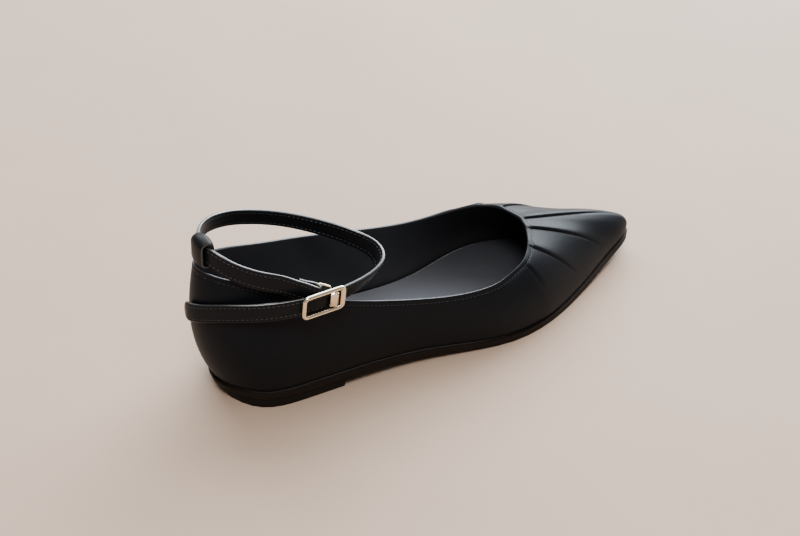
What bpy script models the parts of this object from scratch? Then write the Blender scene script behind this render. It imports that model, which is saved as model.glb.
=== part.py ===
"""Pointed flat shoe for the right foot, with a pleated vamp and a buckled ankle strap.

Sizes are in millimetres and become metres when a mesh is written.  X runs from heel
to toe, Y points to the inner side of the foot, Z is up and the floor is Z = 0.
"""

import bpy
import bmesh
import numpy as np
from math import cos, sin, pi

MM = 0.001
GAP = 0.3

# Middle of the heel on the floor, which becomes the origin
ORIGIN = (40.0, 0.0, 0.0)

# Upper
WALL = 1.5
HEEL_COLUMNS = 22
VAMP_START = 0.31
VAMP_END = 0.69
OUTER_ROWS = 13
INNER_ROWS = 8
SPINE_BACK = 45.0
SPINE_FRONT = 165.0

# Pleats of the vamp
PLEAT_HEIGHT = 1.3
PLEAT_STEP = 0.004
PLEAT_WIDTH = 0.04

# Sole, heel and insole
SOLE_THICKNESS = 3.3
SOLE_EDGE = 0.9
SOLE_STEPS = 44
SOLE_ACROSS = 6
HEEL_BREAST = 67.0
HEEL_INSET = 0.2
HEEL_TAPER = 0.4
HEEL_PITCH = (3.0, -3.0, 0.0)
HEEL_STEPS = 18
INSOLE_THICKNESS = 1.8

# Ankle strap
STRAP_WIDTH = 9.0
STRAP_THICKNESS = 1.5
STRAP_CHAMFER = 0.35
STRAP_STEP = 2.6
FOLD_STEP = 0.9
FOLD_LENGTH = 9.0
FOLD_BEND = 6.0
FOLD_SWELL = 0.2
FOLD_TURNS = 7
HEADING_STEP = 0.05
TAIL_ROUND = 4.0
TAIL_STEPS = 6
TAIL_BLUNT = 0.985

# Heel loop
LOOP_CENTRE = (8.2, 0.0, 80.7)
LOOP_HALF_DEPTH = 3.3
LOOP_HALF_HEIGHT = 6.6
LOOP_HALF_WIDTH = 5.0
LOOP_WALL = 1.2

# Ring at the folded end of the strap
RING_PLACE = (49.0, -26.9, 61.2)
RING_HEADING = (1.0, -0.30, -0.50)
RING_LENGTH = 6.4
RING_WIRE = 1.2

# Buckle
BUCKLE_LENGTH = 22.5
BUCKLE_HEIGHT = 12.9
BUCKLE_RAISE = 0.8
BUCKLE_CORNER = 3.0
BUCKLE_WIRE = 1.9
BAR_FROM_CENTRE = 6.1
BAR_RADIUS = 0.6
SLEEVE_WALL = 0.45
SLEEVE_LENGTH = 6.6
SLEEVE_PLAY = 0.25
SLEEVE_SIDES = 20
PRONG_NOSE = 1.6
NOSE_SHARPNESS = 9
WIRE_SIDES = 10

# Profiles round the shoe: the foot of the wall, its top edge, and how the wall swells
# between them.  The rows start at the back of the heel and go along the outer side.
PROFILES = (
    # foot_x, foot_y, top_x, top_y, top_z, foot_out, foot_up, top_reach, top_drop
    (11.5, 0.0, 3.5, 0.0, 73.8, 12.0, 20.0, 3.0, 24.0),
    (17.0, -14.0, 7.0, -7.5, 72.8, 10.0, 20.0, 4.0, 24.0),
    (27.0, -23.0, 18.5, -14.5, 69.0, 7.5, 19.0, 6.0, 24.0),
    (46.0, -26.5, 42.0, -22.5, 59.5, 6.0, 17.0, 4.0, 20.0),
    (77.0, -27.0, 75.0, -25.5, 46.5, 5.0, 14.0, 2.5, 14.0),
    (108.0, -29.0, 106.0, -28.5, 38.5, 4.0, 12.0, 1.5, 10.0),
    (139.0, -34.5, 136.0, -31.5, 34.7, 3.5, 11.0, 2.5, 8.0),
    (163.0, -36.5, 158.0, -29.0, 35.0, 3.5, 11.0, 5.0, 7.0),
    (185.5, -32.0, 173.0, -20.5, 37.5, 3.0, 12.5, 9.5, 4.8),
    (205.0, -24.3, 180.5, -11.5, 39.3, 3.4, 13.0, 16.0, 5.0),
    (226.0, -14.6, 184.5, -4.0, 40.2, 4.2, 13.0, 26.0, 6.2),
    (245.0, -6.0, 186.0, 0.5, 40.5, 5.0, 13.0, 37.0, 8.0),
    (256.2, -0.7, 186.4, 2.2, 40.6, 5.6, 13.0, 43.0, 9.2),
    (259.2, 3.2, 186.5, 4.0, 40.6, 6.0, 13.0, 45.0, 9.6),
    (256.6, 7.0, 186.4, 5.8, 40.6, 5.6, 13.0, 43.0, 9.2),
    (247.5, 12.0, 186.0, 7.5, 40.6, 5.0, 13.0, 37.0, 8.0),
    (229.0, 22.2, 184.8, 12.7, 40.7, 4.2, 13.0, 26.0, 6.2),
    (208.5, 32.6, 181.0, 19.5, 40.8, 3.4, 13.0, 16.0, 5.0),
    (187.0, 39.5, 172.0, 25.5, 40.2, 3.0, 12.5, 9.5, 4.8),
    (165.0, 37.5, 156.0, 28.7, 39.2, 3.5, 11.0, 5.0, 7.0),
    (139.0, 29.5, 134.0, 28.7, 40.0, 4.5, 12.0, 2.5, 9.0),
    (108.0, 25.5, 106.0, 28.0, 44.8, 6.0, 13.0, 1.5, 11.0),
    (77.0, 27.0, 75.0, 27.0, 51.5, 5.5, 15.0, 2.5, 14.0),
    (46.0, 26.5, 42.0, 22.5, 60.0, 6.0, 17.0, 4.0, 20.0),
    (27.0, 23.0, 18.5, 14.5, 69.0, 7.5, 19.0, 6.0, 24.0),
    (17.0, 14.0, 7.0, 7.5, 72.8, 10.0, 20.0, 4.0, 24.0),
)
TIP_ROW = 13

# Underside of the sole along the foot; the forefoot is pressed flat on the floor.
SOLE_LINE = (
    # x, z
    (-10.0, 4.8),
    (30.0, 4.8),
    (60.0, 4.8),
    (85.0, 4.4),
    (108.0, 3.5),
    (130.0, 1.8),
    (150.0, 0.3),
    (165.0, -0.3),
    (192.0, -0.3),
    (210.0, 0.7),
    (227.0, 2.6),
    (243.0, 5.3),
    (260.0, 8.8),
)

# Pleats: place round the shoe at the top edge, how far the fold has drifted when it
# reaches the foot, its height against the tallest, and where it fades out.  Each fold
# lies toward the outer side of the foot.
PLEATS = (
    # place, drift, height, fade
    (0.357, 0.012, 0.40, 0.38),
    (0.388, 0.034, 0.80, 0.20),
    (0.440, 0.021, 1.00, 0.18),
    (0.494, 0.006, 1.00, 0.30),
    (0.572, -0.030, 0.90, 0.20),
    (0.619, -0.040, 0.60, 0.35),
    (0.656, -0.030, 0.40, 0.50),
)

# Ankle strap: its middle line from the fold at the ring round the back of the heel, the
# inner side and the instep to the buckle, and on to the tail; lean is how far the top
# edge turns out from the ankle, in degrees.
STRAP_LINE = (
    # x, y, z, lean
    (36.0, -23.4, 67.4, -8.0),
    (27.0, -20.4, 70.8, -8.0),
    (19.5, -16.6, 73.8, -8.0),
    (13.2, -11.4, 77.2, -6.0),
    (9.2, -5.8, 80.0, -3.0),
    (7.6, 0.0, 80.6, 0.0),
    (9.2, 7.0, 81.4, -3.0),
    (15.0, 14.8, 81.0, -8.0),
    (23.0, 20.6, 78.8, -12.0),
    (32.0, 24.0, 76.2, -13.0),
    (44.0, 25.2, 72.6, -13.0),
    (57.0, 23.0, 69.0, -12.0),
    (69.0, 17.4, 65.8, -8.0),
    (80.0, 9.2, 62.8, 0.0),
    (88.4, 0.2, 60.2, 10.0),
    (92.2, -8.4, 58.6, 20.0),
    (89.8, -16.8, 57.6, 25.0),
    (81.6, -22.6, 57.0, 24.0),
    (68.0, -27.6, 57.3, 16.0),
    (51.0, -31.0, 58.3, 3.0),
    (36.0, -29.2, 58.0, -6.0),
    (21.4, -23.2, 57.0, -8.0),
    (9.6, -15.0, 55.6, -8.0),
    (2.4, -7.4, 53.2, -6.0),
    (0.1, -1.0, 51.0, -4.0),
    (0.4, 3.0, 49.6, -3.0),
)
STRAP_BUCKLE_ROW = 19

# Finishes
LEATHER_BLACK = (0.025, 0.025, 0.028)
CHAMPAGNE_GOLD = (0.86, 0.78, 0.62)
SHARP_ANGLE = 0.6
FINISHES = {
    # node: colour, roughness, metallic
    "upper": (LEATHER_BLACK, 0.32, 0.0),
    "outsole": ((0.03, 0.026, 0.022), 0.6, 0.0),
    "heel_block": ((0.02, 0.019, 0.018), 0.55, 0.0),
    "insole": ((0.05, 0.052, 0.058), 0.35, 0.0),
    "heel_loop": (LEATHER_BLACK, 0.35, 0.0),
    "ankle_strap": (LEATHER_BLACK, 0.35, 0.0),
    "strap_ring": (CHAMPAGNE_GOLD, 0.25, 1.0),
    "buckle_frame": (CHAMPAGNE_GOLD, 0.25, 1.0),
    "buckle_bar": (CHAMPAGNE_GOLD, 0.25, 1.0),
    "buckle_prong": (CHAMPAGNE_GOLD, 0.25, 1.0),
}


def smooth_through(xs, ys, at):
    """Natural cubic spline through the points (xs, ys), read at the places in at."""
    count = len(xs)
    step = np.diff(xs)
    matrix = np.eye(count)
    right = np.zeros(ys.shape)
    for i in range(1, count - 1):
        matrix[i, i - 1:i + 2] = step[i - 1], 2 * (step[i - 1] + step[i]), step[i]
        right[i] = 6 * ((ys[i + 1] - ys[i]) / step[i] - (ys[i] - ys[i - 1]) / step[i - 1])
    bend = np.linalg.solve(matrix, right)
    at = np.clip(at, xs[0], xs[-1])
    i = np.clip(np.searchsorted(xs, at, side="right") - 1, 0, count - 2)
    t = (at - xs[i]).reshape((-1,) + (1,) * (ys.ndim - 1))
    h = step[i].reshape(t.shape)
    slope = (ys[i + 1] - ys[i]) / h - h * (2 * bend[i] + bend[i + 1]) / 6
    return ys[i] + t * (slope + t * (bend[i] / 2 + t * (bend[i + 1] - bend[i]) / (6 * h)))


def profile_knots():
    """Distance round the shoe at each row of the profile table, and the whole way round."""
    rows = np.array(PROFILES)
    middle = 0.7 * rows[:, 0:2] + 0.3 * rows[:, 2:4]
    knots = np.cumsum(np.linalg.norm(np.roll(middle, -1, axis=0) - middle, axis=1))
    return np.concatenate([[0.0], knots[:-1]]), knots[-1]


def profile_values(u):
    """Smooth closed curve through the profile table; u is 0 to 1 round the shoe."""
    rows = np.array(PROFILES)
    knots, total = profile_knots()
    xs = np.concatenate([knots[-4:] - total, knots, knots[:5] + total])
    ys = np.concatenate([rows[-4:], rows, rows[:5]])
    return smooth_through(xs, ys, np.mod(u, 1.0) * total)


def sole_under(x):
    """Height of the sole's underside before the forefoot is pressed on the floor."""
    line = np.array(SOLE_LINE)
    return smooth_through(line[:, 0], line[:, 1], np.asarray(x, float))


def sole_top(x):
    return sole_under(x) + SOLE_THICKNESS


def away_from_spine(points):
    """Level unit vectors pointing from the middle of the foot out to the points."""
    out = np.array(points, float)
    out[:, 0] -= np.clip(out[:, 0], SPINE_BACK, SPINE_FRONT)
    out[:, 2] = 0.0
    return out / np.linalg.norm(out, axis=1)[:, None]


def last_surface(u, v):
    """Smooth outer skin of the upper; v is 0 at the foot and 1 at the top edge."""
    values = profile_values(u.ravel())
    foot = np.stack([values[:, 0], values[:, 1], sole_top(values[:, 0]) + GAP], axis=1)
    top = values[:, 2:5]
    out = away_from_spine(foot)
    up = np.array([0.0, 0.0, 1.0])
    low = foot + out * values[:, 5:6] + up * values[:, 6:7]
    high = top + out * values[:, 7:8] - up * values[:, 8:9]
    v = v.ravel()[:, None]
    w = 1.0 - v
    skin = w ** 3 * foot + 3 * w * w * v * low + 3 * w * v * v * high + v ** 3 * top
    return skin.reshape(u.shape + (3,))


def skin_normals(u, v):
    """Outward unit normals of the smooth skin, level along its foot."""
    du = 1e-4
    dv = 1e-3
    along = last_surface(u + du, v) - last_surface(u - du, v)
    rising = last_surface(u, np.minimum(v + dv, 1.0)) - last_surface(u, np.maximum(v - dv, 0.0))
    normal = np.cross(along, rising)
    normal[..., 2] *= v > 0.0
    return normal / np.linalg.norm(normal, axis=-1)[..., None]


def pleat_lift(column, v):
    """How far the folds raise the skin of the vamp."""
    lift = np.zeros(column.shape)
    wide = PLEAT_WIDTH / PLEAT_STEP
    for place, drift, height, fade in PLEATS:
        past = (column - place) / PLEAT_STEP
        rise = np.clip(past, 0.0, 1.0)
        fall = np.clip((wide - past) / (wide - 1.0), 0.0, 1.0)
        across = np.where(past < 1.0, rise * rise * (3 - 2 * rise), fall * fall)
        down = np.clip((v - fade) / (0.9 - fade), 0.0, 1.0)
        lift += PLEAT_HEIGHT * height * across * down * down * (3 - 2 * down)
    return lift


def upper_columns():
    """Places round the shoe for the columns of the wall, close together at each pleat."""
    columns = list(np.linspace(VAMP_END - 1.0, VAMP_START, 2 * HEEL_COLUMNS))
    places = [row[0] for row in PLEATS]
    for place, following in zip(places, places[1:] + [VAMP_END]):
        columns += [place + PLEAT_STEP * part for part in (-1.0, -0.5, 0.0, 0.5, 1.0)]
        columns += list(np.linspace(place + PLEAT_STEP, following - PLEAT_STEP, 6)[1:-1])
    columns.append(VAMP_START + 0.02)
    return np.array(sorted(columns))


def upper_grid(rows):
    """Columns and heights of a grid on the upper, with its lines running along the pleats."""
    column, v = np.meshgrid(upper_columns(), rows, indexing="ij")
    table = np.array([(VAMP_START, 0.0)] + [row[0:2] for row in PLEATS] + [(VAMP_END, 0.0)])
    u = column + np.interp(column, table[:, 0], table[:, 1]) * (1.0 - v)
    return column, u, v


def plan_outline(u, outset):
    """Foot line of the upper in plan, moved out by a distance."""
    du = 1e-4
    values = profile_values(u)
    along = profile_values(u + du)[:, 0:2] - profile_values(u - du)[:, 0:2]
    along /= np.linalg.norm(along, axis=1)[:, None]
    return values[:, 0:2] + outset * np.stack([along[:, 1], -along[:, 0]], axis=1)


def plate_rings(shares, low_outset, high_outset, low, high):
    """Rings across the foot for a plate between two heights given along the foot."""
    knots, total = profile_knots()
    tip = knots[TIP_ROW] / total
    rings = []
    faces = ((low_outset, low, 0.0, 1.0), (high_outset, high, 1.0, 0.0))
    sheets = []
    for outset, height, first, last in faces:
        outer = plan_outline(tip * shares, outset)
        inner = plan_outline(1.0 - (1.0 - tip) * shares, outset)
        sheets.append((outer, inner, height, np.linspace(first, last, SOLE_ACROSS + 1)))
    for i in range(len(shares)):
        ring = []
        for outer, inner, height, across in sheets:
            plan = outer[i] + (inner[i] - outer[i]) * across[:, None]
            ring.append(np.column_stack([plan, height(plan[:, 0])]))
        rings.append(np.concatenate(ring))
    return np.array(rings)


def share_at(x):
    """Share of the way from heel to toe at which the outer foot line reaches x."""
    knots, total = profile_knots()
    shares = np.linspace(0.0, 1.0, 400)
    return np.interp(x, profile_values(shares * knots[TIP_ROW] / total)[:, 0], shares)


def strap_axes(heading, lean, up=np.array([0.0, 0.0, 1.0])):
    """Unit vectors along the strap, across its width and out of its face."""
    ahead = heading / np.linalg.norm(heading, axis=-1)[..., None]
    across = up - ahead * np.sum(up * ahead, axis=-1)[..., None]
    across /= np.linalg.norm(across, axis=-1)[..., None]
    face = np.cross(across, ahead)
    turn = np.radians(lean)[..., None]
    return ahead, across * np.cos(turn) + face * np.sin(turn), face * np.cos(turn) - across * np.sin(turn)


def ring_axes():
    """Directions of the ring: along the strap toward the toe, up the bar and out."""
    ahead, across, face = strap_axes(-np.array(RING_HEADING), np.array(0.0))
    return -ahead, across, face


def strap_path():
    """Points along the middle of the strap, from its folded end, with the lean at each."""
    place = np.array(RING_PLACE)
    ahead, across, face = ring_axes()
    radius = RING_WIRE / 2 + GAP + STRAP_THICKNESS / 2
    apart = (STRAP_THICKNESS + GAP) / 2
    back = place - ahead * FOLD_LENGTH
    halfway = place - ahead * FOLD_LENGTH / 2
    inner = [back - face * apart, halfway - face * (apart + FOLD_SWELL)]
    outer = [halfway + face * (apart + FOLD_SWELL), back + face * apart]
    turns = np.linspace(0.0, pi, FOLD_TURNS)
    bend = [place + radius * (ahead * sin(turn) - face * cos(turn)) for turn in turns]
    fold = np.array(inner + bend + outer)
    table = np.array(STRAP_LINE)
    return np.concatenate([fold, table[:, 0:3]]), np.concatenate([np.zeros(len(fold)), table[:, 3]])


def strap_rings():
    """Rings along the strap, with a round end on the tail."""
    points, leans = strap_path()
    length = np.concatenate([[0.0], np.cumsum(np.linalg.norm(np.diff(points, axis=0), axis=1))])
    folded = 2 * FOLD_LENGTH + FOLD_BEND
    tail = length[-1] - TAIL_ROUND
    at = np.concatenate([
        np.arange(0.0, folded, FOLD_STEP),
        np.arange(folded, tail, STRAP_STEP),
        tail + TAIL_ROUND * np.sin(np.linspace(0.0, pi / 2, TAIL_STEPS)),
    ])
    place = smooth_through(length, points, at)
    heading = (smooth_through(length, points, at + HEADING_STEP)
               - smooth_through(length, points, at - HEADING_STEP))
    upright = np.where(at[:, None] < folded, ring_axes()[1], np.array([0.0, 0.0, 1.0]))
    ahead, across, face = strap_axes(heading, smooth_through(length, leans, at), upright)
    past = np.clip((at - tail) / TAIL_ROUND, 0.0, TAIL_BLUNT)
    half = STRAP_WIDTH / 2 * np.sqrt(1.0 - past * past)
    deep = STRAP_THICKNESS / 2
    corners = ((1, 0, 1), (1, 1, 0), (-1, 1, 0), (-1, 0, 1),
               (-1, 0, -1), (-1, -1, 0), (1, -1, 0), (1, 0, -1))
    rings = []
    for side, flat, edge in corners:
        wide = side * (half - STRAP_CHAMFER * abs(flat))
        thick = deep * flat + (deep - STRAP_CHAMFER) * edge
        rings.append(place + across * wide[:, None] + face * thick)
    return np.stack(rings, axis=1)


def rounded_rectangle(half_length, half_height, corner, segments):
    """Points round a rectangle with round corners, with the outward direction at each."""
    points = []
    outward = []
    for quarter in range(4):
        sx = (1, -1, -1, 1)[quarter]
        sy = (1, 1, -1, -1)[quarter]
        for step in range(segments + 1):
            angle = pi / 2 * (quarter + step / segments)
            direction = np.array([cos(angle), sin(angle)])
            middle = np.array([sx * (half_length - corner), sy * (half_height - corner)])
            points.append(middle + corner * direction)
            outward.append(direction)
    return np.array(points), np.array(outward)


def frame_rings(centre, axes, half_length, half_height, corner, segments, section):
    """Rings of a wire frame bent round a rectangle; section lists (outward, face) offsets."""
    ahead, across, face = axes
    points, outward = rounded_rectangle(half_length, half_height, corner, segments)
    rings = []
    for point, direction in zip(points, outward):
        place = centre + ahead * point[0] + across * point[1]
        away = ahead * direction[0] + across * direction[1]
        rings.append([place + away * out + face * deep for out, deep in section])
    return np.array(rings)


def round_section(radius, sides):
    angles = [2 * pi * side / sides for side in range(sides)]
    return [(radius * cos(angle), radius * sin(angle)) for angle in angles]


def buckle_axes():
    """Middle of the buckle and its directions, lying on the outer face of the strap."""
    table = np.array(STRAP_LINE)
    row = STRAP_BUCKLE_ROW
    heading = table[row - 1, 0:3] - table[row + 1, 0:3]
    ahead, across, face = strap_axes(-heading, table[row, 3])
    centre = table[row, 0:3] + face * (STRAP_THICKNESS / 2 + GAP + BUCKLE_WIRE / 2) + across * BUCKLE_RAISE
    return centre, (-ahead, across, face)


# Blender objects

def finish_of(name):
    """Material of one sub-part."""
    colour, roughness, metallic = FINISHES[name]
    material = bpy.data.materials.new(name)
    material.use_nodes = True
    shader = material.node_tree.nodes["Principled BSDF"]
    shader.inputs["Base Color"].default_value = (*colour, 1.0)
    shader.inputs["Roughness"].default_value = roughness
    shader.inputs["Metallic"].default_value = metallic
    return material


def add_solid(name, rings, closed_path):
    """Mesh object skinned over rings of points; an open path gets an end face at each end."""
    bm = bmesh.new()
    verts = [[bm.verts.new((point - ORIGIN) * MM) for point in ring] for ring in rings]
    count = len(verts)
    around = len(verts[0])
    for i in range(count if closed_path else count - 1):
        here, there = verts[i], verts[(i + 1) % count]
        for j in range(around):
            k = (j + 1) % around
            bm.faces.new((here[j], here[k], there[k], there[j]))
    if not closed_path:
        bm.faces.new(verts[0][::-1])
        bm.faces.new(verts[-1])
    bmesh.ops.remove_doubles(bm, verts=bm.verts, dist=1e-7)
    if bm.calc_volume(signed=True) < 0.0:
        bmesh.ops.reverse_faces(bm, faces=bm.faces)
    mesh = bpy.data.meshes.new(name)
    bm.to_mesh(mesh)
    bm.free()
    mesh.shade_smooth()
    mesh.set_sharp_from_angle(angle=SHARP_ANGLE)
    mesh.materials.append(finish_of(name))
    solid = bpy.data.objects.new(name, mesh)
    bpy.context.scene.collection.objects.link(solid)
    return solid


def build_upper():
    rise = np.linspace(0.0, 1.0, OUTER_ROWS)
    column, u, v = upper_grid(rise)
    outer = last_surface(u, v) + skin_normals(u, v) * pleat_lift(column, v)[..., None]
    column, u, v = upper_grid(np.linspace(1.0, 0.0, INNER_ROWS))
    inner = last_surface(u, v) - skin_normals(u, v) * WALL
    return add_solid("upper", np.concatenate([outer, inner], axis=1), True)


def build_outsole():
    shares = 0.5 - 0.5 * np.cos(np.linspace(0.0, pi, SOLE_STEPS + 1))
    rings = plate_rings(shares, SOLE_EDGE, SOLE_EDGE, lambda x: np.maximum(sole_under(x), 0.0), sole_top)
    return add_solid("outsole", rings, False)


def build_heel():
    shares = share_at(HEEL_BREAST) * np.sin(np.linspace(0.0, pi / 2, HEEL_STEPS + 1))
    rings = np.array(plate_rings(shares, SOLE_EDGE - HEEL_INSET - HEEL_TAPER, SOLE_EDGE - HEEL_INSET,
                                 lambda x: np.zeros(len(x)), lambda x: sole_under(x) - GAP))
    toward_back = (ORIGIN[0] - rings[..., 0]) / (ORIGIN[0] - PROFILES[0][0])
    on_floor = rings[..., 2] == 0.0
    rings += np.array(HEEL_PITCH) * (on_floor * np.clip(toward_back, 0.0, 1.0) ** 2)[..., None]
    return add_solid("heel_block", rings, False)


def build_insole():
    shares = 0.5 - 0.5 * np.cos(np.linspace(0.0, pi, SOLE_STEPS + 1))
    inset = -(WALL + 4 * GAP)
    rings = plate_rings(shares, inset, inset, lambda x: sole_top(x) + GAP,
                        lambda x: sole_top(x) + GAP + INSOLE_THICKNESS)
    return add_solid("insole", rings, False)


def build_loop():
    section = ((0.0, -LOOP_HALF_WIDTH), (0.0, LOOP_HALF_WIDTH),
               (-LOOP_WALL, LOOP_HALF_WIDTH), (-LOOP_WALL, -LOOP_HALF_WIDTH))
    axes = (np.array([1.0, 0.0, 0.0]), np.array([0.0, 0.0, 1.0]), np.array([0.0, 1.0, 0.0]))
    rings = frame_rings(np.array(LOOP_CENTRE), axes, LOOP_HALF_DEPTH, LOOP_HALF_HEIGHT,
                        LOOP_HALF_DEPTH - 0.2, 6, section)
    return add_solid("heel_loop", rings, True)


def build_ring():
    axes = ring_axes()
    centre = np.array(RING_PLACE) + axes[0] * RING_LENGTH / 2
    rings = frame_rings(centre, axes, RING_LENGTH / 2, STRAP_WIDTH / 2 + RING_WIRE / 2 + GAP,
                        1.0, 3, round_section(RING_WIRE / 2, 8))
    return add_solid("strap_ring", rings, True)


def build_buckle():
    centre, axes = buckle_axes()
    ahead, across, face = axes
    half = BUCKLE_WIRE / 2
    section = round_section(half, WIRE_SIDES)
    rings = frame_rings(centre, axes, BUCKLE_LENGTH / 2 - half, BUCKLE_HEIGHT / 2 - half,
                        BUCKLE_CORNER - half, 5, section)
    add_solid("buckle_frame", rings, True)
    reach = BUCKLE_HEIGHT / 2 - BUCKLE_WIRE - GAP
    middle = centre + ahead * BAR_FROM_CENTRE
    bar = []
    for end in (-reach, reach):
        bar.append([middle + across * end + ahead * a + face * b
                    for a, b in round_section(BAR_RADIUS, WIRE_SIDES)])
    add_solid("buckle_bar", np.array(bar), False)
    sleeve = []
    for side in range(SLEEVE_SIDES):
        angle = 2 * pi * side / SLEEVE_SIDES
        away = ahead * cos(angle) + face * sin(angle)
        inside = BAR_RADIUS + SLEEVE_PLAY
        outside = inside + SLEEVE_WALL + PRONG_NOSE * max(0.0, -cos(angle)) ** NOSE_SHARPNESS
        half_length = SLEEVE_LENGTH / 2
        sleeve.append([middle + away * radius + across * end for radius, end in
                       ((inside, -half_length), (outside, -half_length),
                        (outside, half_length), (inside, half_length))])
    add_solid("buckle_prong", np.array(sleeve), True)


for old in list(bpy.data.objects):
    bpy.data.objects.remove(old, do_unlink=True)

build_upper()
build_outsole()
build_heel()
build_insole()
build_loop()
add_solid("ankle_strap", strap_rings(), False)
build_ring()
build_buckle()
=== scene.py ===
"""Looks of a pointed flat shoe: black satin leather, stitching, rubber sole and pale gold buckle."""

from math import pi, radians

import bmesh
import bpy
from mathutils import Matrix, Quaternion, Vector
from mathutils.bvhtree import BVHTree


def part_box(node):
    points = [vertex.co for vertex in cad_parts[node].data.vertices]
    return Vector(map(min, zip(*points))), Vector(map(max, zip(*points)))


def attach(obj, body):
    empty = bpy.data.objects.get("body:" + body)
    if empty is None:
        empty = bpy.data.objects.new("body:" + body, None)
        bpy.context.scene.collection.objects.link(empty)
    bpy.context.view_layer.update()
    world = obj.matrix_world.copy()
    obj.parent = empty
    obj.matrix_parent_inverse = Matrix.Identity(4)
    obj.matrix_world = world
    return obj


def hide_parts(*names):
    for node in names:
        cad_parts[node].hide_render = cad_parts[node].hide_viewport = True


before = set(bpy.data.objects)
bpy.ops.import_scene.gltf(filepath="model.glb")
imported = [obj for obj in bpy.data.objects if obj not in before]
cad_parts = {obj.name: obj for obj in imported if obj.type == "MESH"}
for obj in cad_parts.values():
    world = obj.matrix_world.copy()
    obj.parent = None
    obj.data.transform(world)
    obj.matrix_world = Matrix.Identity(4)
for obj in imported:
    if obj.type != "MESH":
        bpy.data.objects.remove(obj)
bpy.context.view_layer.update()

MM = 0.001

# Camera
CAMERA_PLACE = Vector((-254.3, -489.1, 458.1)) * MM
CAMERA_AIM = Vector((81.3, 13.2, 25.0)) * MM
CAMERA_LENS = 66.9
CAMERA_SENSOR = 36.0
CAMERA_ROLL = radians(3.52)

# Folded topline of the upper: what tells its edge, its rounding, and the rows of wall below it
RIM_ANGLE = 1.1
RIM_LOWEST = 28.0 * MM
RIM_ROUND = 0.5 * MM
WALL_ROWS = 12

# Rows of the topline seam: distance below the edge, and how far each is pulled in
SEAM_ROWS = ((1.9 * MM, 0.0), (2.6 * MM, 0.22 * MM), (3.3 * MM, 0.0))
STITCHED_ROW = 2
ROWS_BELOW_SEAM = (4.3 * MM, 5.8 * MM, 7.4 * MM, 9.0 * MM)

# Knife pleats of the vamp: foot and ridge on the topline, length and depth of the tuck, in mm
PLEATS = (
    ((128.8, -23.8, 36.6), (130.2, -23.2, 37.3), 22.0, 0.15),
    ((137.2, -16.1, 38.5), (138.2, -15.4, 39.7), 40.0, 0.28),
    ((144.3, -4.6, 40.2), (144.8, -4.0, 41.5), 58.0, 0.30),
    ((146.4, 2.5, 40.6), (146.8, 3.5, 41.9), 66.0, 0.30),
    ((143.4, 16.1, 40.8), (143.3, 17.0, 41.9), 40.0, 0.28),
    ((134.9, 24.2, 40.4), (133.8, 25.1, 41.0), 26.0, 0.22),
    ((121.5, 28.1, 39.5), (119.8, 28.7, 39.7), 16.0, 0.15),
)
PLEAT_FOLD = 0.75
RIDGE_SHARE = 0.4

# Stretch of the topline that runs evenly over the tops of the pleats
VAMP_START = 112.0 * MM
EVEN_ROWS = 3
EVEN_TURNS = 6

# Stitching
THREAD = 0.46 * MM
THREAD_LIFT = 0.1 * THREAD
STITCH_LENGTH = 1.6 * MM
STITCH_PITCH = 2.15 * MM

# Strap: the least length of an edge across it, and the margin of its stitches
STRAP_WIDE = 7.0 * MM
STRAP_MARGIN = 1.3 * MM

# Back of the heel, which slopes in toward its middle below the upper
HEEL_MIDDLE = 5.0 * MM
HEEL_REACH = 40.0 * MM
HEEL_DRAW = 2.6 * MM
SOLE_TOP_SHARE = 0.15

# Insole, paler at the waist as painted sheen and darker under the toes as painted shade
WAIST = 55.0 * MM
TOES = 135.0 * MM

# Seam of the lining on each side of the heel
LINING_SEAM = 8.0 * MM
LINING_GROOVE = 0.7 * MM

# Heel loop: its swell, its cuts across, and what tells its long edges and its open sides
LOOP_BULGE = 0.9 * MM
LOOP_CUTS = 5
LOOP_HALF_WIDTH = 5.0 * MM
LOOP_SIDE_FACING = 0.7

# Buckle: growth of its frame and bar, and what tells the inside of the front bar
FRAME_FULLER = 0.16 * MM
FRONT_BAR_INSIDE = 8.0 * MM
FRONT_BAR_HALF = 4.6 * MM
FRONT_BAR_FACING = -0.2
FRONT_BAR_BROADER = 0.8 * MM
BAR_FULLER = 1.4

# Edges: width of each rounding, and the turn past which an edge is rounded
MERGE = 0.001 * MM
EDGE_SEGMENTS = 2
LEATHER_EDGE = 0.16 * MM
RUBBER_EDGE = 0.35 * MM
METAL_EDGE = 0.2 * MM
STRAP_CORNER = 0.4
RUBBER_CORNER = 0.9
HARD_CORNER = 1.0
SHADING_CORNER = radians(50)
SUBDIVISIONS = 2

# Leathers: darkest and palest shade, roughness and shine
UPPER_LEATHER = ((0.005, 0.0065, 0.0095), (0.008, 0.0105, 0.0145), 0.44, 0.24)
STRAP_LEATHER = ((0.010, 0.0105, 0.012), (0.017, 0.0175, 0.020), 0.36, 0.2)
LOOP_LEATHER = ((0.007, 0.007, 0.008), (0.012, 0.012, 0.013), 0.40, 0.2)
# The folded topline is glossier than the upper, and its paler shades are a painted highlight along the rim
FOLDED_EDGE_AND_HIGHLIGHT = ((0.018, 0.019, 0.021), (0.030, 0.031, 0.034), 0.34, 0.5)

# Rubbers: darkest and palest shade
SOLE_RUBBER = ((0.013, 0.009, 0.007), (0.021, 0.015, 0.012))
HEEL_RUBBER = ((0.010, 0.010, 0.010), (0.015, 0.014, 0.014))

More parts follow.
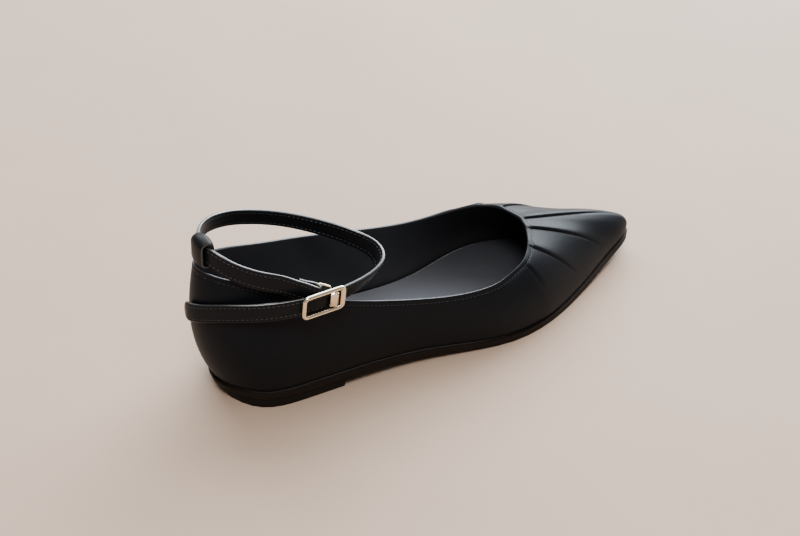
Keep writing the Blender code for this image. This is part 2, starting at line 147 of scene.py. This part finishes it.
# Studio, in metres and watts. Each light has a name, place, aim, size, power and colour
FLOOR_REACH = 10.0
ROOM_COLOUR = (1.0, 0.97, 0.94, 1.0)
ROOM_STRENGTH = 0.3
COOL = (0.88, 0.94, 1.0)
WARM = (1.0, 0.96, 0.91)
NEUTRAL = (1.0, 0.98, 0.95)
LIGHTS = (
    ("back_light", (0.60, 0.90, 1.10), (0.1, 0.0, 0.02), (2.2, 1.4), 44.0, COOL),
    ("toe_light", (1.35, 0.75, 0.62), (0.17, 0.0, 0.03), (1.3, 0.8), 24.0, COOL),
    ("ceiling_light", (0.0, -0.1, 2.2), (0.05, 0.0, 0.0), (1.8, 1.4), 16.0, WARM),
    ("front_light", (-0.45, -0.65, 1.50), (0.05, 0.0, 0.03), (0.6, 0.5), 16.0, NEUTRAL),
)

# Sockets of a colour Mix node
MIX_SHARE = 0
MIX_LOW = 6
MIX_HIGH = 7
MIX_COLOUR = 2


class Wire:
    """Output socket of a shader node that takes part in Python sums."""

    def __init__(self, recipe, socket):
        self.recipe = recipe
        self.socket = socket

    def sum_node(self, operation, first, second):
        return self.recipe.node("ShaderNodeMath", {"operation": operation}, {0: first, 1: second})

    def __add__(self, other):
        return self.sum_node("ADD", self, other)

    def __radd__(self, other):
        return self.sum_node("ADD", other, self)

    def __sub__(self, other):
        return self.sum_node("SUBTRACT", self, other)

    def __rsub__(self, other):
        return self.sum_node("SUBTRACT", other, self)

    def __mul__(self, other):
        return self.sum_node("MULTIPLY", self, other)

    def __rmul__(self, other):
        return self.sum_node("MULTIPLY", other, self)


class Recipe:
    """One material: its Principled shader and the nodes that feed it."""

    def __init__(self, name):
        self.material = bpy.data.materials.new(name)
        self.material.use_nodes = True
        self.tree = self.material.node_tree
        self.shader = self.tree.nodes["Principled BSDF"]
        self.place = self.node("ShaderNodeTexCoord", output="Object")

    def node(self, kind, settings=None, sockets=None, output=0):
        """New node of a kind, with its settings and the values or links of its sockets."""
        made = self.tree.nodes.new(kind)
        for key, value in (settings or {}).items():
            setattr(made, key, value)
        self.fill(made, sockets or {})
        return Wire(self, made.outputs[output])

    def fill(self, made, sockets):
        for key, value in sockets.items():
            if isinstance(value, Wire):
                self.tree.links.new(value.socket, made.inputs[key])
            else:
                made.inputs[key].default_value = value

    def finish(self, sockets):
        self.fill(self.shader, sockets)
        return self.material

    def noise(self, size, detail):
        return self.node("ShaderNodeTexNoise", {},
                         {"Vector": self.place, "Scale": 1.0 / size, "Detail": detail})

    def cells(self, size):
        return self.node("ShaderNodeTexVoronoi", {}, {"Vector": self.place, "Scale": 1.0 / size})

    def ahead(self):
        """Distance along the shoe, toward the toe."""
        return self.node("ShaderNodeSeparateXYZ", {}, {"Vector": self.place}, "X")

    def bump(self, height, depth, strength):
        return self.node("ShaderNodeBump", {},
                         {"Height": height, "Distance": depth, "Strength": strength})

    def between(self, share, low, high):
        """Colour between two, by a share from 0 to 1."""
        return self.node("ShaderNodeMix", {"data_type": "RGBA"},
                         {MIX_SHARE: share, MIX_LOW: (*low, 1.0), MIX_HIGH: (*high, 1.0)}, MIX_COLOUR)


# Materials

def smooth_leather(name, dark, light, roughness, shine):
    """Black satin leather with a fine grain and faint cloudy wear."""
    recipe = Recipe(name)
    cloud = recipe.noise(size=24 * MM, detail=3.0)
    fine = recipe.noise(size=0.35 * MM, detail=2.0)
    pebble = recipe.cells(size=0.55 * MM)
    return recipe.finish({
        "Base Color": recipe.between(cloud, dark, light),
        "Roughness": cloud * 0.1 + (roughness - 0.05) + fine * 0.06,
        "Specular IOR Level": shine,
        "Normal": recipe.bump(pebble * 0.6 + fine * 0.4, depth=0.03 * MM, strength=0.5),
    })


def edge_paint_and_highlight():
    """Glossy edge paint on cut leather; its paler shades are a painted highlight along the edges."""
    recipe = Recipe("edge_paint_and_highlight")
    ripple = recipe.noise(size=1.5 * MM, detail=2.0)
    return recipe.finish({
        # Paler than the strap's leather: painted highlight on the edges
        "Base Color": recipe.between(ripple, (0.020, 0.021, 0.023), (0.034, 0.035, 0.038)),
        "Roughness": ripple * 0.12 + 0.24,
        "Specular IOR Level": 0.9,
        "Normal": recipe.bump(ripple, depth=0.06 * MM, strength=0.4),
    })


def lining_with_painted_light():
    """Matt black lining of the upper, with a grooved seam on each side of the heel; its shades are paler
    than black as painted light on the inside walls.
    """
    recipe = Recipe("lining_with_painted_light")
    cloud = recipe.noise(size=15 * MM, detail=3.0)
    fine = recipe.noise(size=0.5 * MM, detail=2.0)
    away = recipe.node("ShaderNodeMath", {"operation": "ABSOLUTE"}, {0: recipe.ahead() - LINING_SEAM})
    groove = recipe.node("ShaderNodeMapRange", {}, {"Value": away, "From Max": LINING_GROOVE})
    return recipe.finish({
        # Paler than black: painted light on the inside of the shoe
        "Base Color": recipe.between(cloud, (0.032, 0.033, 0.037), (0.048, 0.049, 0.055)),
        "Roughness": cloud * 0.1 + 0.45,
        "Normal": recipe.bump(fine * 0.1 + groove, depth=0.4 * MM, strength=0.4),
    })


def insole_leather():
    """Dark grey insole with a soft sheen and a faint pressed grain; its colour holds painted sheen at the
    waist and painted shade under the toes.
    """
    recipe = Recipe("insole_leather")
    cloud = recipe.noise(size=30 * MM, detail=4.0)
    fine = recipe.noise(size=0.6 * MM, detail=3.0)
    # Painted sheen at the waist fading into painted shade under the toes, mixed with random cloudy tone
    painted_toe_shade = recipe.node("ShaderNodeMapRange", {"interpolation_type": "SMOOTHSTEP"},
                          {"Value": recipe.ahead(), "From Min": WAIST, "From Max": TOES})
    painted_shade_and_cloud = painted_toe_shade * 0.8 + cloud * 0.2
    return recipe.finish({
        "Base Color": recipe.between(painted_shade_and_cloud, (0.160, 0.167, 0.190), (0.050, 0.052, 0.060)),
        "Roughness": cloud * 0.12 + 0.36,
        "Normal": recipe.bump(fine, depth=0.05 * MM, strength=0.5),
    })


def sole_rubber(name, dark, light):
    """Matt rubber with fine moulding speckle."""
    recipe = Recipe(name)
    cloud = recipe.noise(size=12 * MM, detail=4.0)
    speckle = recipe.noise(size=0.4 * MM, detail=3.0)
    return recipe.finish({
        "Base Color": recipe.between(cloud, dark, light),
        "Roughness": speckle * 0.15 + 0.5,
        "Specular IOR Level": 0.25,
        "Normal": recipe.bump(speckle, depth=0.06 * MM, strength=0.6),
    })


def thread():
    """Waxed black thread."""
    recipe = Recipe("thread")
    fibre = recipe.noise(size=0.12 * MM, detail=2.0)
    return recipe.finish({
        "Base Color": recipe.between(fibre, (0.02, 0.02, 0.022), (0.045, 0.045, 0.05)),
        "Roughness": fibre * 0.2 + 0.3,
    })


def pale_gold(name):
    """Polished pale gold plating with soft tumbling marks."""
    recipe = Recipe(name)
    cloud = recipe.noise(size=4 * MM, detail=3.0)
    fine = recipe.noise(size=0.5 * MM, detail=2.0)
    return recipe.finish({
        "Base Color": recipe.between(cloud, (0.80, 0.69, 0.52), (0.88, 0.79, 0.64)),
        "Roughness": cloud * 0.1 + 0.14,
        "Metallic": 1.0,
        "Normal": recipe.bump(fine, depth=0.01 * MM, strength=0.3),
    })


def floor_card():
    """Pale warm card."""
    recipe = Recipe("floor_card")
    cloud = recipe.noise(size=80 * MM, detail=4.0)
    return recipe.finish({
        "Base Color": recipe.between(cloud, (0.40, 0.30, 0.235), (0.44, 0.335, 0.265)),
        "Roughness": 0.7,
    })


# Shapes

def solid_copy(node):
    """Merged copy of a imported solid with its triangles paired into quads."""
    bm = bmesh.new()
    bm.from_mesh(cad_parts[node].data)
    bmesh.ops.remove_doubles(bm, verts=bm.verts, dist=MERGE)
    bmesh.ops.join_triangles(bm, faces=bm.faces, angle_face_threshold=pi / 2, angle_shape_threshold=pi,
                             topology_influence=2.0)
    return bm


def round_edges(bm, angle, width):
    """Rounds every edge that turns more than the angle."""
    sharp = [edge for edge in bm.edges if edge.is_manifold and edge.calc_face_angle() > angle]
    bmesh.ops.bevel(bm, geom=sharp, offset=width, affect="EDGES", segments=EDGE_SEGMENTS,
                    profile=0.5, material=-1, clamp_overlap=True)


def add_piece(name, bm, materials, replaced=(), levels=0):
    """Object from a bmesh, smooth shaded, riding on the shoe."""
    mesh = bpy.data.meshes.new(name)
    bm.to_mesh(mesh)
    bm.free()
    mesh.shade_smooth()
    if not levels:
        mesh.set_sharp_from_angle(angle=SHADING_CORNER)
    for material in materials:
        mesh.materials.append(material)
    piece = bpy.data.objects.new(name, mesh)
    bpy.context.scene.collection.objects.link(piece)
    if levels:
        smooth = piece.modifiers.new("smooth", "SUBSURF")
        smooth.levels = levels
        smooth.render_levels = levels
    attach(piece, "root")
    if replaced:
        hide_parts(*replaced)
    return piece


def stitch_bead():
    """One stitch lying along X: a stretched bead."""
    bm = bmesh.new()
    size = Matrix.Diagonal((STITCH_LENGTH / 2, THREAD / 2, THREAD / 2, 1.0))
    turn = Matrix.Rotation(pi / 2, 4, "Y")
    bmesh.ops.create_uvsphere(bm, u_segments=6, v_segments=5, radius=1.0, matrix=size @ turn)
    mesh = bpy.data.meshes.new("stitch_bead")
    bm.to_mesh(mesh)
    bm.free()
    return mesh


def add_stitch(bm, bead, place, along, up):
    """Copy of the bead laid on a surface."""
    side = up.cross(along).normalized()
    turn = Matrix((along, side, up)).transposed().to_4x4()
    stitch = bead.copy()
    stitch.transform(Matrix.Translation(place) @ turn)
    bm.from_mesh(stitch)
    bpy.data.meshes.remove(stitch)


def stitch_along(bm, bead, points, normals, closed=False):
    """Stitches at an even pitch along a path of points with their surface normals."""
    if closed:
        points = points + points[:1]
        normals = normals + normals[:1]
    spare = STITCH_PITCH / 2
    for start, end, normal in zip(points, points[1:], normals):
        step = end - start
        along = step.normalized()
        up = (normal - along * normal.dot(along)).normalized()
        while spare < step.length:
            add_stitch(bm, bead, start + along * spare, along, up)
            spare += STITCH_PITCH
        spare -= step.length


def ring_of(edge):
    """Edges of the loop that runs straight on from one edge, with their first vertices."""
    verts = [edge.verts[0]]
    edges = [edge]
    here = edge.verts[1]
    while here is not verts[0]:
        behind = set(edges[-1].link_faces)
        onward = next(line for line in here.link_edges if not behind & set(line.link_faces))
        verts.append(here)
        edges.append(onward)
        here = onward.other_vert(here)
    return verts, edges


# Upper

def find_topline(bm):
    """Outer vertices of the topline, the edges on both sides of it and the faces between them."""
    sharp = [edge for edge in bm.edges
             if edge.calc_face_angle() > RIM_ANGLE and min(vert.co.z for vert in edge.verts) > RIM_LOWEST]
    outer, rim = ring_of(min(sharp, key=lambda edge: edge.verts[0].co.y + edge.verts[1].co.y))
    top = [max(rim[0].link_faces, key=lambda face: face.normal.z)]
    for edge in rim[1:]:
        top.append(next(face for face in edge.link_faces if set(face.edges) & set(top[-1].edges)))
    rim += [next(line for line in face.edges if not set(line.verts) & set(edge.verts))
            for face, edge in zip(top, rim)]
    return outer, rim, set(top)


def run_down(vert, top):
    """Vertices of one column of the outer skin, from the topline to the sole."""
    verts = [vert]
    behind = top
    for row in range(WALL_ROWS):
        onward = next(edge for edge in verts[-1].link_edges if not behind & set(edge.link_faces))
        behind = set(onward.link_faces)
        verts.append(onward.other_vert(verts[-1]))
    return verts


def share_out_materials(bm, columns, top):
    """Gives the outer skin the first material, the lining the second and the topline the third."""
    skin = {vert for column in columns for vert in column}
    for face in bm.faces:
        if face in top:
            face.material_index = 2
        elif skin.issuperset(face.verts):
            face.material_index = 0
        else:
            face.material_index = 1


def point_along(points, distance):
    """Point at a distance along a line of points."""
    for start, end in zip(points, points[1:]):
        step = end - start
        if distance < step.length:
            break
        distance -= step.length
    return start + step.normalized() * distance


def sew_topline(columns):
    """Adds the rows of the seam below the topline and pulls its middle in."""
    for column in columns:
        points = [vert.co.copy() for vert in column]
        for vert, room in zip(column[1:], ROWS_BELOW_SEAM):
            if (vert.co - points[0]).length < room:
                vert.co = point_along(points, room)
        here, following = column[:2]
        for place, (below, pull) in enumerate(SEAM_ROWS, start=1):
            edge = next(line for line in here.link_edges if line.other_vert(here) is following)
            row = bmesh.utils.edge_split(edge, here, 0.5)[1]
            row.co = point_along(points, below)
            column.insert(place, row)
            here = row
    for column, beside in zip(columns, columns[1:] + columns[:1]):
        for row, level in list(zip(column, beside))[1:len(SEAM_ROWS) + 1]:
            shared = next(face for face in row.link_faces if level in face.verts)
            bmesh.utils.face_split(shared, row, level)
    for column in columns:
        for row, (below, pull) in zip(column[1:], SEAM_ROWS):
            row.normal_update()
            row.co -= row.normal * pull


def even_topline(columns):
    """Lets the folded edge run smoothly over the tops of the pleats."""
    for row in range(EVEN_ROWS):
        line = [column[row] for column in columns]
        for turn in range(EVEN_TURNS):
            places = [vert.co.copy() for vert in line]
            behind = places[-1:] + places[:-1]
            ahead = places[1:] + places[:1]
            for vert, before, place, after in zip(line, behind, places, ahead):
                if place.x > VAMP_START:
                    vert.co = (before + place * 2.0 + after) / 4.0


def fold_pleats(bm, columns):
    """Sharpens each pleat: its foot is tucked in and its ridge is folded, fading over the far half."""
    crease = bm.edges.layers.float["crease_edge"]
    for foot, ridge, length, depth in PLEATS:
        for point, shift in ((foot, -depth), (ridge, depth * RIDGE_SHARE)):
            column = min(columns, key=lambda verts: (verts[0].co - Vector(point) * MM).length)
            gone = 0.0
            for above, vert in zip(column, column[1:]):
                edge = bm.edges.get((above, vert))
                gone += edge.calc_length()
                left = min(max(2.0 - 2.0 * gone / (length * MM), 0.0), 1.0)
                vert.co += vert.normal * shift * MM * left
                edge[crease] = PLEAT_FOLD * left


def build_upper(leather, lining, fold_and_highlight, stitches, bead):
    """Upper with its folded and sewn topline, and the stitches of that seam."""
    bm = solid_copy("upper")
    bm.edges.layers.float.new("crease_edge")
    bm.normal_update()
    outer, rim, top = find_topline(bm)
    columns = [run_down(vert, top) for vert in outer]
    share_out_materials(bm, columns, top)
    sew_topline(columns)
    even_topline(columns)
    bm.normal_update()
    fold_pleats(bm, columns)
    points = [column[STITCHED_ROW].co.copy() for column in columns]
    bmesh.ops.bevel(bm, geom=rim, offset=RIM_ROUND, affect="EDGES", segments=EDGE_SEGMENTS,
                    profile=0.5, material=-1)
    upper = add_piece("upper_leather_wall", bm, [leather, lining, fold_and_highlight], ["upper"],
                      SUBDIVISIONS)

    bpy.context.view_layer.update()
    tree = BVHTree.FromObject(upper, bpy.context.evaluated_depsgraph_get())
    hits = [tree.find_nearest(point) for point in points]
    sewing = bmesh.new()
    stitch_along(sewing, bead, [hit[0] for hit in hits], [hit[1] for hit in hits], closed=True)
    add_piece("topline_stitches", sewing, [stitches])


# Strap and loop

def cross_edges(face):
    """Edges of a face that run across the strap."""
    return [edge for edge in face.edges if edge.calc_length() > STRAP_WIDE]


def wide_strips(bm):
    """Cross edges along each wide side of the strap from end to end, with the normals of the faces ahead."""
    wide = [face for face in bm.faces if len(face.edges) == 4 and len(cross_edges(face)) == 2]
    left = set(wide)
    ends = [(edge, face) for face in wide for edge in cross_edges(face)
            if left.isdisjoint(set(edge.link_faces) - {face})]
    chains = []
    for edge, face in ends:
        chain = []
        while face in left:
            left.remove(face)
            chain.append((edge, face.normal.copy()))
            edge = next(line for line in cross_edges(face) if line is not edge)
            face = next(other for other in edge.link_faces if other is not face)
        if chain:
            chain.append((edge, chain[-1][1]))
            chains.append(chain)
    return chains


def sew_strap(sewing, bead, chain):
    """Row of stitches along each edge of one side of the strap."""
    normals = [normal for cross, normal in chain]
    upper_row = []
    lower_row = []
    for cross, normal in chain:
        low, high = sorted((vert.co for vert in cross.verts), key=lambda co: co.z)
        margin = (high - low).normalized() * STRAP_MARGIN
        upper_row.append(high - margin + normal * THREAD_LIFT)
        lower_row.append(low + margin + normal * THREAD_LIFT)
    stitch_along(sewing, bead, upper_row, normals)
    stitch_along(sewing, bead, lower_row, normals)


def build_strap(leather, paint_and_highlight, stitches, bead):
    """Strap with painted edges, and its stitches."""
    bm = solid_copy("ankle_strap")
    bm.normal_update()
    sewing = bmesh.new()
    for chain in wide_strips(bm):
        sew_strap(sewing, bead, chain)
    for face in bm.faces:
        face.material_index = 0 if cross_edges(face) else 1
    round_edges(bm, STRAP_CORNER, LEATHER_EDGE)
    add_piece("ankle_strap_band", bm, [leather, paint_and_highlight], ["ankle_strap"])
    add_piece("strap_stitches", sewing, [stitches])


def build_loop(leather, paint_and_highlight):
    """Leather tunnel on the back of the topline, swollen across its width."""
    bm = solid_copy("heel_loop")
    low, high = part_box("heel_loop")
    middle = (low + high) / 2
    cross = [line for line in bm.edges if abs(line.verts[0].co.y - line.verts[1].co.y) > LOOP_HALF_WIDTH]
    bmesh.ops.subdivide_edges(bm, edges=cross, cuts=LOOP_CUTS, use_grid_fill=True)
    for face in bm.faces:
        face.material_index = 1 if abs(face.normal.y) > LOOP_SIDE_FACING else 0
    for vert in bm.verts:
        share = (vert.co.y - middle.y) / (high.y - middle.y)
        away = Vector((vert.co.x - middle.x, 0.0, vert.co.z - middle.z))
        vert.co += away.normalized() * LOOP_BULGE * (1.0 - share * share)
    round_edges(bm, HARD_CORNER, LEATHER_EDGE)
    add_piece("heel_loop_band", bm, [leather, paint_and_highlight], ["heel_loop"])


# Sole, heel and insole

def draw_in_heel(bm, share):
    """Slopes the back of the heel in toward the floor; share tells how much of it a vertex takes."""
    bm.normal_update()
    for vert in bm.verts:
        back = min(max(-vert.co.x / HEEL_REACH, 0.0), 1.0)
        inward = Vector((HEEL_MIDDLE - vert.co.x, -vert.co.y, 0.0)).normalized()
        vert.co += inward * HEEL_DRAW * back * back * share(vert)


def build_sole(rubber):
    """Thin sole that slopes in at the back."""
    bm = solid_copy("outsole")
    draw_in_heel(bm, lambda vert: 1.0 if vert.normal.z < 0.0 else SOLE_TOP_SHARE)
    round_edges(bm, RUBBER_CORNER, RUBBER_EDGE)
    add_piece("outsole_rubber", bm, [rubber], ["outsole"])


def build_heel(rubber):
    """Low heel that goes on in line with the sole."""
    bm = solid_copy("heel_block")
    draw_in_heel(bm, lambda vert: 1.0)
    round_edges(bm, RUBBER_CORNER, RUBBER_EDGE)
    add_piece("heel_rubber_block", bm, [rubber], ["heel_block"])


def build_insole(leather):
    """Sock on the sole, with its edge against the upper left sharp."""
    add_piece("insole_sock", solid_copy("insole"), [leather], ["insole"])


# Ring and buckle

def build_ring(metal):
    """Round wire ring in the fold of the strap."""
    bm = solid_copy("strap_ring")
    add_piece("strap_ring_wire", bm, [metal], ["strap_ring"], SUBDIVISIONS)


def build_frame(metal):
    """Cast frame, a little fuller than its wire and with a broad front bar."""
    bm = solid_copy("buckle_frame")
    bm.normal_update()
    low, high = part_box("buckle_frame")
    middle = (low + high) / 2
    for vert in bm.verts:
        on_front_bar = vert.co.x - middle.x > FRONT_BAR_INSIDE
        between_corners = abs(vert.co.z - middle.z) < FRONT_BAR_HALF
        vert.co += vert.normal * FRAME_FULLER
        if on_front_bar and between_corners and vert.normal.x < FRONT_BAR_FACING:
            vert.co.x -= FRONT_BAR_BROADER
    add_piece("buckle_frame_cast", bm, [metal], ["buckle_frame"], SUBDIVISIONS)


def build_bar(metal):
    """Thick centre bar of the buckle."""
    bm = solid_copy("buckle_bar")
    low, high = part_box("buckle_bar")
    middle = (low + high) / 2
    for vert in bm.verts:
        vert.co.x = middle.x + (vert.co.x - middle.x) * BAR_FULLER
        vert.co.y = middle.y + (vert.co.y - middle.y) * BAR_FULLER
    round_edges(bm, HARD_CORNER, METAL_EDGE)
    add_piece("buckle_bar_pin", bm, [metal], ["buckle_bar"])


def build_prong(metal):
    """Rolled sleeve of the prong with its nose."""
    bm = solid_copy("buckle_prong")
    round_edges(bm, HARD_CORNER, METAL_EDGE)
    add_piece("buckle_prong_roll", bm, [metal], ["buckle_prong"])


# Studio

def add_light(name, place, aim, size, power, colour):
    """Soft rectangular light that faces its aim."""
    light = bpy.data.lights.new(name, "AREA")
    light.shape = "RECTANGLE"
    light.size, light.size_y = size
    light.energy = power
    light.color = colour
    lamp = bpy.data.objects.new(name, light)
    lamp.location = place
    lamp.rotation_mode = "QUATERNION"
    lamp.rotation_quaternion = (Vector(aim) - Vector(place)).to_track_quat("-Z", "Y")
    bpy.context.scene.collection.objects.link(lamp)


def build_floor():
    """Wide plain floor."""
    bm = bmesh.new()
    bmesh.ops.create_grid(bm, x_segments=1, y_segments=1, size=FLOOR_REACH)
    mesh = bpy.data.meshes.new("floor")
    bm.to_mesh(mesh)
    bm.free()
    mesh.materials.append(floor_card())
    floor = bpy.data.objects.new("floor", mesh)
    bpy.context.scene.collection.objects.link(floor)


def build_room():
    """Soft light from all round, the lights, and the contrast of the picture."""
    world = bpy.data.worlds.new("studio")
    world.use_nodes = True
    background = world.node_tree.nodes["Background"]
    background.inputs["Color"].default_value = ROOM_COLOUR
    background.inputs["Strength"].default_value = ROOM_STRENGTH
    bpy.context.scene.world = world
    for light in LIGHTS:
        add_light(*light)
    bpy.context.scene.view_settings.look = "AgX - Medium High Contrast"


def build_camera():
    """Camera above and behind the outer side of the heel, rolled a little."""
    camera = bpy.data.cameras.new("camera")
    camera.lens = CAMERA_LENS
    camera.sensor_width = CAMERA_SENSOR
    holder = bpy.data.objects.new("camera", camera)
    holder.location = CAMERA_PLACE
    holder.rotation_mode = "QUATERNION"
    straight = (CAMERA_AIM - CAMERA_PLACE).to_track_quat("-Z", "Y")
    holder.rotation_quaternion = straight @ Quaternion((0.0, 0.0, 1.0), CAMERA_ROLL)
    bpy.context.scene.collection.objects.link(holder)
    bpy.context.scene.camera = holder


build_camera()
build_floor()
build_room()

painted_edge_and_highlight = edge_paint_and_highlight()
black_thread = thread()
bead = stitch_bead()
build_upper(smooth_leather("upper_leather", *UPPER_LEATHER), lining_with_painted_light(),
            smooth_leather("folded_edge_and_highlight", *FOLDED_EDGE_AND_HIGHLIGHT), black_thread, bead)
build_strap(smooth_leather("strap_leather", *STRAP_LEATHER), painted_edge_and_highlight, black_thread, bead)
bpy.data.meshes.remove(bead)
build_sole(sole_rubber("sole_rubber", *SOLE_RUBBER))
build_heel(sole_rubber("heel_rubber", *HEEL_RUBBER))
build_insole(insole_leather())
build_loop(smooth_leather("loop_leather", *LOOP_LEATHER), painted_edge_and_highlight)
build_ring(pale_gold("ring_metal"))
build_frame(pale_gold("buckle_metal"))
build_bar(pale_gold("bar_metal"))
build_prong(pale_gold("prong_metal"))
